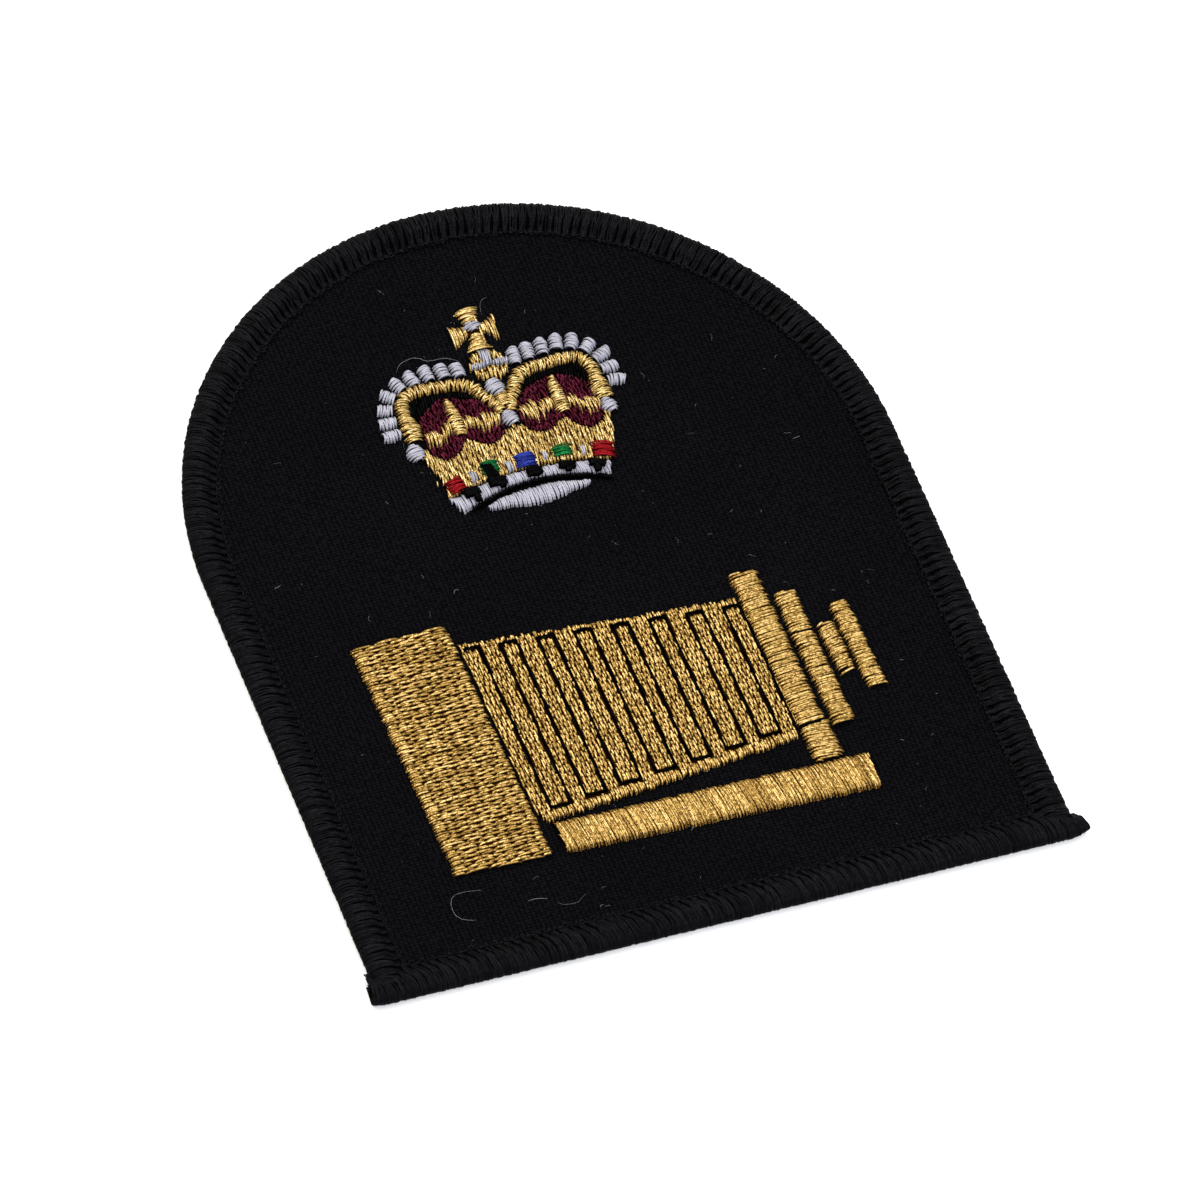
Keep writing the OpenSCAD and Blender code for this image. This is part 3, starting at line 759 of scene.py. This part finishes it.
carried = {"first": [(-5.85, 62.05), (-5.4, 59.8)], "count": 6, "pitch": 0.2}


def sewBand():
    # black stitches are carried from a tail up over the left green jewel
    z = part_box("green_jewel_left")[1].z
    over = []
    for i in range(carried["count"]):
        over.append(onCloth([(x + i * carried["pitch"], y) for x, y in carried["first"]], z))
    for node, plan in band.items():
        sewArea(node, plan, over if node == "ermine_tails" else ())


jewel = {"below": 0.16, "pitch": 0.22, "slant": 0.12, "ragged": 0.12, "spread": 0.1, "dip": 0.35,
         "rise": 0.12, "roundness": 2.4, "steps": 7, "inset": 0.15, "width": 0.23}
jewelRow = {"red_jewel_left": (redThread, 8), "green_jewel_left": (greenThread, 2),
            "blue_jewel": (blueThread, 0), "green_jewel_right": (greenThread, -2),
            "red_jewel_right": (redThread, -14)}


def sewJewels():
    for i, (node, (thread, angle)) in enumerate(jewelRow.items()):
        sewArea(node, jewel | {"thread": thread, "angle": angle, "seed": 100 + i})


# heart is the cross's middle; stem, arm and jewel are half sizes about it
cross = {"thread": brightGold, "heart": (-0.25, 79.55), "stem": 0.6, "arm": 0.7, "jewel": (0.75, 0.72),
         "below": 0.16, "pitch": 0.24, "slant": 0.1, "loose": 0.05, "dip": 0.35, "rise": 0.08,
         "roundness": 2.6, "sink": 0.35}
orb = {
    "cross_jewel": {"thread": whiteThread, "seed": 112, "angle": 12.0, "pitch": 0.22, "slant": 0.1,
                    "ragged": 0.1, "spread": 0.15, "below": 0.12, "roundness": 2.4, "inset": 0.15},
    "crown_orb": {"thread": brightGold, "seed": 113, "angle": 86.0, "pitch": 0.26, "stitch": 1.8,
                  "slant": 0.15, "ragged": 0.1, "loose": 0.06, "below": 0.16, "dip": 0.35, "rise": 0.1,
                  "roundness": 2.6},
    "orb_band": {"thread": whiteThread, "seed": 114, "angle": 84.0, "pitch": 0.25, "slant": 0.1,
                 "ragged": 0.12, "below": 0.16, "roundness": 2.4, "inset": 0.15},
}


def sewOrb():
    # the cross's upright has rows across it and its arms have rows up and down; the jewel's place stays free
    heart = onCloth([cross["heart"]], 0)[0]
    area, z = outlineOf("crown_cross"), topOf("crown_cross", cross)
    wide, high = cross["jewel"]

    def onStem(p):
        return abs(p.y - heart.y) > high * mm and abs(p.x - heart.x) < cross["stem"] * mm

    def onArms(p):
        return abs(p.x - heart.x) > wide * mm and abs(p.y - heart.y) < cross["arm"] * mm

    rows = fillArea(area, z, cross | {"seed": 110, "angle": 3.0, "ragged": 0.12}, onStem)
    rows += fillArea(area, z, cross | {"seed": 111, "angle": 91.0, "ragged": 0.15}, onArms)
    sew("crown_cross", rows, cross)
    for node, plan in orb.items():
        sewArea(node, plan)


pearl = {"thread": whiteThread, "base": 0.34, "pitch": 0.19, "slant": 0.12, "ragged": 0.1, "spread": -0.02,
         "least": 0.95, "dip": 0.35, "rise": 0.2, "roundness": 3.0, "height": 0.17, "width": 0.24, "steps": 8,
         "sink": 0.4, "wobble": 0.1, "dullest": 0.72,
         "turns": {"left": (4, 8, 8, 16, 26, 50, 76, 90, 96),
                   "right": (-4, -4, -4, -12, -26, -44, -66, -86, -94)}}
stud = pearl | {"base": 0.4, "spread": 0.06, "least": 0.6, "turn": 12}


def sewPearl(node, plan, turn, seed):
    turn += random.Random(seed).uniform(-10, 10)
    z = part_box(node)[0].z + plan["base"] * mm
    sew(node, fillArea(outlineOf(node), z, plan | {"angle": turn, "seed": seed}), plan)


def sewPearls():
    for k, (word, turns) in enumerate(pearl["turns"].items()):
        for i, turn in enumerate(turns):
            sewPearl(f"pearl_{word}_{i + 1}", pearl, turn, 200 + 10 * k + i)
    for i, word in enumerate(("upper", "middle", "left", "right")):
        sewPearl("stud_" + word, stud, stud["turn"], 230 + i)


sewArches()
sewCaps()
sewOrnaments()
sewBand()
sewJewels()
sewOrb()
sewPearls()
print("crown is sewn")


# Ground cloth

# faces each way, and in mm how high the ripple is and how far it lies below the CAD cloth's top
cloth = {"across": 120, "rows": 140, "ripple": 0.06, "sink": 0.03}


def rippleAt(x, y):
    # two crossed waves of some 20 mm, one of them bent, so that no two ripples are alike
    wave = math.sin(x * 310 + 1.3 * math.sin(y * 170)) * math.sin(y * 260 + 0.7)
    return cloth["ripple"] * mm * wave - cloth["sink"] * mm


def rimOf(grid):
    return grid[0] + [row[-1] for row in grid[1:]] + grid[-1][-2::-1] + [row[0] for row in grid[-2:0:-1]]


def weaveCloth():
    low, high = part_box("ground_cloth")
    half = (high.x - low.x) / 2
    shoulder = high.y - half
    columns, rows = cloth["across"], cloth["rows"]
    net = bmesh.new()
    sides = []
    # the last row stops just short of the arch's top, so that its faces keep a width
    for top in (True, False):
        grid = []
        for j in range(rows + 1):
            y = low.y + (high.y - low.y) * j / rows * 0.9995
            reach = half if y < shoulder else math.sqrt(half ** 2 - (y - shoulder) ** 2)
            line = []
            for i in range(columns + 1):
                x = reach * (2 * i / columns - 1)
                line.append(net.verts.new((x, y, high.z + rippleAt(x, y) if top else low.z)))
            grid.append(line)
        for j in range(rows):
            for i in range(columns):
                ring = [grid[j][i], grid[j][i + 1], grid[j + 1][i + 1], grid[j + 1][i]]
                net.faces.new(ring if top else ring[::-1])
        sides.append(grid)
    above, below = [rimOf(grid) for grid in sides]
    for k in range(len(above)):
        n = (k + 1) % len(above)
        net.faces.new((below[k], below[n], above[n], above[k]))
    mesh = bpy.data.meshes.new("ground_cloth_weave")
    net.to_mesh(mesh)
    net.free()
    for face in mesh.polygons:
        face.use_smooth = True
    mesh.materials.append(blackCloth)
    return handOver(newObject("ground_cloth_weave", mesh), "ground_cloth")


clothPiece = weaveCloth()
print("ground cloth is laid")


# Overlocked border: thread wrapped round the cloth's edge

border = {
    # mm from wrap to wrap and from needle hole to needle hole, and the thread's width
    "pitch": 0.17, "bunch": 1.06, "thread": 0.23,
    # how far past the roll the holes are, mm, and what share of the way the wraps gather to them
    "reach": 0.6, "gather": 0.5,
    # how far a wrap leans, strays, bends and swells, mm
    "slant": 0.15, "sway": 0.12, "puff": 0.06, "scallop": 0.07, "archLean": 0.15, "footLean": -0.9,
    # how far the padding keeps inside the roll, and the arch's ends run into the bottom border, mm
    "padding": 0.2, "overlap": 1.4,
    # the trimmed tails: their lengths, the lines that fill the right one, and how they thin, round and rise
    "tailRight": 1.45, "tailLeft": 0.8, "tailSizes": (0.9, 0.78, 0.62),
    "tailThin": 0.27, "tailRound": 0.12, "tailIn": 1.6, "tailUp": 0.8,
    "chain": {"thread": edgeThread, "length": 0.53, "above": 0.16, "width": 0.2, "height": 0.18, "rise": 0.1,
              "dip": 0.08, "wobble": 0.1, "roundness": 2.4},
}


def wrapTree():
    tree, add, given = openTree("threadRoundEdge", {
        "Geometry": "Geometry", "Object": "Wrap Core", "Material": "Material", "Int": "Seed",
        "Float": "Pitch Bunch Gather Lean Slant Sway Puff Scallop Thread"})
    path = add("GeometryNodeMeshToCurve", {"Mesh": given["Geometry"]})
    path = {"Curve": path, "Length": given["Pitch"]}
    path = add("GeometryNodeResampleCurve", path, mode="LENGTH")
    way = add("GeometryNodeInputTangent")
    length = add("GeometryNodeSplineParameter").outputs["Length"]
    # how far each wrap's inner end moves along the edge to meet its neighbours at a needle hole
    place = add("DIVIDE", (length, given["Bunch"]))
    place = add("FRACT", (place,))
    place = add("SUBTRACT", (0.5, place))
    span = add("MULTIPLY", (given["Bunch"], given["Gather"]))
    gather = add("MULTIPLY", (place, span))
    # the bunch between two needle holes stands out most along its middle
    swell = add("MULTIPLY", (place, math.pi))
    swell = add("COSINE", (swell,))
    swell = add("MULTIPLY", (swell, given["Scallop"]))
    index = add("GeometryNodeInputIndex")
    kinds = {"way": "FLOAT_VECTOR"}
    stored = {"way": way, "gather": gather, "swell": swell}
    draws = (("stray", -1.0, 1.0), ("swing", -1.0, 1.0), ("puff", -1.0, 1.0), ("tone", 0.5, 1.0),
             ("strand", 0.0, 90.0))
    for k, (word, low, high) in enumerate(draws):
        seed = add("ADD", (given["Seed"], 5.0 * k))
        drawn = {"Min": low, "Max": high, "ID": index, "Seed": seed}
        stored[word] = add("FunctionNodeRandomValue", drawn).outputs["Value"]
    for word, value in stored.items():
        value = {"Geometry": path, "Name": word, "Value": value}
        path = add("GeometryNodeStoreNamedAttribute", value, data_type=kinds.get(word, "FLOAT"))
    facing = add("FunctionNodeAlignRotationToVector", {"Vector": way}, axis="Y", pivot_axis="Z")
    read = {}
    for word in ("size", "inner", "swirl", "way", "gather", "swell", "stray", "swing", "puff"):
        value = add("GeometryNodeInputNamedAttribute", {"Name": word}, data_type=kinds.get(word, "FLOAT"))
        read[word] = value.outputs["Attribute"]
    scale = add("ShaderNodeCombineXYZ", (read["size"], 1.0, read["size"]))
    wrap = add("GeometryNodeObjectInfo", {"Object": given["Wrap"]}).outputs["Geometry"]
    wraps = {"Points": path, "Instance": wrap, "Scale": scale, "Rotation": facing}
    wraps = add("GeometryNodeInstanceOnPoints", wraps)
    wraps = add("GeometryNodeRealizeInstances", {"Geometry": wraps})
    slip = add("MULTIPLY_ADD", (read["stray"], given["Slant"], read["gather"]))
    slip = add("ADD", (slip, given["Lean"]))
    slip = add("MULTIPLY", (slip, read["inner"]))
    whole = add("ShaderNodeMapRange", {"Value": read["size"], "From Min": 0.6, "From Max": 1.0})
    slip = add("MULTIPLY", (slip, whole))
    sway = add("MULTIPLY", (read["swirl"], given["Sway"]))
    slip = add("MULTIPLY_ADD", (sway, read["swing"], slip))
    move = add("ShaderNodeVectorMath", {0: read["way"], "Scale": slip}, operation="SCALE")
    # each wrap stands a little further out or in than its neighbours
    puff = add("MULTIPLY_ADD", (read["puff"], given["Puff"], read["swell"]))
    outward = add("ShaderNodeVectorMath", (read["way"], (0.0, 0.0, 1.0)), operation="CROSS_PRODUCT")
    outward = add("ShaderNodeVectorMath", {0: outward, "Scale": puff}, operation="SCALE")
    move = add("ShaderNodeVectorMath", (move, outward), operation="ADD")
    half = add("MULTIPLY", (puff, 0.5))
    upward = add("ShaderNodeCombineXYZ", {"Z": half})
    move = add("ShaderNodeVectorMath", (move, upward), operation="ADD")
    wraps = add("GeometryNodeSetPosition", {"Geometry": wraps, "Offset": move})
    line = add("GeometryNodeMeshToCurve", {"Mesh": wraps})
    along = add("GeometryNodeSplineParameter").outputs["Length"]
    line = {"Geometry": line, "Name": "along", "Value": along}
    line = add("GeometryNodeStoreNamedAttribute", line)
    closeTree(add, given, line, threadSection(add, 5), given["Thread"])
    return tree


def wrapShape():
    # one wrap as a line of points; x runs outwards from the path, which follows the outer edge
    low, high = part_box("bottom_border")
    width, height = high.y - low.y, high.z - low.z
    radius = border["thread"] / 2 * mm
    middle = clothTop - low.z + 0.03 * mm
    # it starts flat on the cloth, at the needle holes
    points = [(-width - border["reach"] * mm, 0, clothTop + 0.04 * mm)]
    # it goes over the roll in nine points, from 162 degrees on the inner side to 0 at the outer edge
    for k in range(9):
        t = math.radians(162 - k * 20.25)
        x = -width / 2 + (width / 2 - radius) * math.cos(t)
        points.append((x, 0, middle + (height - middle - radius) * math.sin(t)))
    # and back under the badge
    points += [(x * mm, 0, z * mm) for x, z in ((-0.25, 0.45), (-0.7, 0.2), (-3.0, 0.22))]
    # inner is 0 at the outer edge and grows inwards, where a wrap strays the most
    inner = [(max(-x, 0) / width) ** 1.6 for x, y, z in points]
    mesh = wireMesh("edge_wrap", [points])
    swirl = [math.sin(2 * math.pi * part) for part in inner]
    mesh.attributes.new("inner", "FLOAT", "POINT").data.foreach_set("value", inner)
    mesh.attributes.new("swirl", "FLOAT", "POINT").data.foreach_set("value", swirl)
    return newObject("edge_wrap", mesh)


def sewEdge(node, paths, sizes, tree, lean, seed):
    wires = wireMesh(node, paths)
    wires.attributes.new("size", "FLOAT", "POINT").data.foreach_set("value", sizes)
    material, slot = edgeThread
    lengths = ("pitch", "bunch", "slant", "sway", "puff", "scallop", "thread")
    values = {word.title(): border[word] * mm for word in lengths}
    values |= {"Wrap": wrapShape(), "Core": coreOf(node, border["padding"], border["padding"]),
               "Gather": border["gather"], "Lean": lean * mm, "Seed": seed, "Material": material}
    made.append(handOver(runTree(node + "_thread", wires, tree, values), node))


def archLine(inset, drop):
    # up the right side, over the arch and down the left side; drop is how far its ends run on
    low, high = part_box("arch_border")
    half = (high.x - low.x) / 2
    shoulder, foot = high.y - half, low.y - drop
    reach = half - inset
    path = [Vector((reach, foot + (shoulder - foot) * k / 20, 0)) for k in range(20)]
    path += [Vector((reach * math.cos(t), shoulder + reach * math.sin(t), 0)) for t in
             (math.pi * k / 120 for k in range(121))]
    path += [Vector((-reach, shoulder + (foot - shoulder) * k / 20, 0)) for k in range(1, 21)]
    return path


def footLine(scale):
    # along the bottom edge and out past the sides, where the trimmed tails thin and round off; a line of a
    # smaller scale fills the right tail inside the first one
    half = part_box("arch_border")[1].x
    right, left = half + border["tailRight"] * mm, half + border["tailLeft"] * mm
    first = -left if scale == 1 else half - 0.8 * mm
    path, sizes = [], []
    for k in range(81):
        x = first + (right - first) * k / 80
        over = max(abs(x) - half + 0.3 * mm, 0) / (border["tailRight"] * mm + 0.3 * mm)
        size = scale * (1 - border["tailThin"] * over ** 0.8 - border["tailRound"] * over ** 9)
        thinner = (1 - size) * mm
        path.append(Vector((x, footY + thinner * border["tailIn"], thinner * border["tailUp"])))
        sizes.append(size)
    return path, sizes


def chainAlong(path, stitch, seed):
    # short stitches along the path, and a loop from each of them out on the cloth
    draw = random.Random(seed)
    lines, gone, last = [], 0.0, None
    for a, b in zip(path, path[1:]):
        gone += (b - a).length
        if last is None or gone > stitch * draw.uniform(0.85, 1.15) * mm:
            way = (b - a).normalized()
            inward = Vector((-way.y, way.x, 0))
            spot = b + inward * draw.uniform(-0.12, 0.06) * mm
            if last is not None:
                out = inward * draw.uniform(0.15, 0.5) + way * draw.uniform(-0.15, 0.15)
                tip = (last + spot) / 2 + out * mm
                lines += [(last, spot + way * 0.12 * mm), (last, tip, spot)]
            last, gone = spot, 0.0
    return lines


def sewBorder():
    tree = wrapTree()
    path = archLine(0.0, border["overlap"] * mm)
    sewEdge("arch_border", [path], [1.0] * len(path), tree, border["archLean"], 301)
    paths, sizes = zip(*[footLine(scale) for scale in (1,) + border["tailSizes"]])
    sewEdge("bottom_border", paths, sum(sizes, []), tree, border["footLean"], 302)
    # the looper thread's chain lies along the inner edge, on paths with a point every tenth of a millimetre
    chain = border["chain"]
    low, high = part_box("bottom_border")
    inset = high.y - low.y + border["reach"] * mm
    inner = archLine(inset, 0.0)
    z = Vector((0, 0, clothTop + chain["above"] * mm))
    dense = []
    for a, b in zip(inner, inner[1:]):
        count = max(1, round((b - a).length / (0.1 * mm)))
        dense += [a + (b - a) * k / count + z for k in range(count)]
    across = abs(inner[0].x)
    foot = [Vector((-across + 2 * across * k / 640, footY + inset, 0)) + z for k in range(641)]
    lines = chainAlong(dense, chain["length"], 310) + chainAlong(foot, chain["length"], 311)
    sew("border_chain", lines, chain, False)


sewBorder()
print("border is wrapped")


# Lint: pale fibres and specks caught on the cloth, and one stray clipping of gold thread

lint = {
    # how many specks are scattered, and between which limits, mm
    "count": 130, "across": 33.0, "low": 4.5, "high": 88.0, "shoulder": 57.0, "above": 0.14,
    "fibre": {"thread": whiteThread, "width": 0.027, "height": 0.027, "rise": 0.06, "dip": 0.02, "steps": 12,
              "sides": 3, "dullest": 0.2},
    "hairs": [[(-10.2, 76.4), (-9.7, 77.1), (-8.8, 77.5), (-7.5, 77.6), (-6.4, 76.8), (-4.4, 76.7),
               (-2.9, 75.8)],
              [(1.5, 81.1), (1.75, 82.3), (2.2, 82.95), (3.1, 83.2)],
              [(-20.4, 8.0), (-19.4, 8.0), (-18.2, 7.7)],
              [(-17.4, 7.1), (-17.1, 6.6), (-16.2, 6.4), (-15.3, 6.4), (-14.8, 6.8), (-13.8, 7.3)],
              [(-12.3, 7.4), (-11.9, 7.5), (-11.5, 7.4)],
              [(-12.7, 5.1), (-12.0, 5.1)],
              [(-24.7, 10.6), (-26.1, 10.8), (-27.6, 10.8), (-28.3, 10.3), (-28.6, 9.2), (-28.4, 8.0),
               (-27.4, 7.4), (-26.6, 7.2)]],
    "clipping": {"thread": brightGold, "width": 0.2, "height": 0.16, "rise": 0.12, "dip": 0.05,
                 "path": [(-11.0, 61.6), (-11.1, 60.9)]},
}


def scatterLint():
    draw = random.Random(77)
    z = clothTop + lint["above"] * mm
    lines = [smoothPath(hair, 0.3) for hair in lint["hairs"]]
    for k in range(lint["count"]):
        x, y = draw.uniform(-1, 1) * lint["across"], draw.uniform(lint["low"], lint["high"])
        if math.hypot(x, max(y - lint["shoulder"], 0)) > lint["across"]:
            continue
        turn, length = draw.uniform(0, math.pi), draw.choice((0.15, 0.2, 0.3, 0.5, 0.9))
        line = []
        for step in range(4):
            line.append((x, y))
            x, y = x + math.cos(turn) * length / 3, y + math.sin(turn) * length / 3
            turn += draw.uniform(-0.9, 0.9)
        lines.append(smoothPath(line, length / 3))
    lines = [[Vector((p.x, p.y, z)) for p in line] for line in lines]
    sew("lint", lines, lint["fibre"], False)
    sew("gold_clipping", [onCloth(lint["clipping"]["path"], z)], lint["clipping"], False)


scatterLint()
print("lint is scattered")

triangles = {}
for piece in made + [clothPiece]:
    triangles[piece.name] = sum(len(face.vertices) - 2 for face in piece.data.polygons)
most = max(triangles, key=triangles.get)
print("triangles:", sum(triangles.values()), "most:", most, triangles[most])
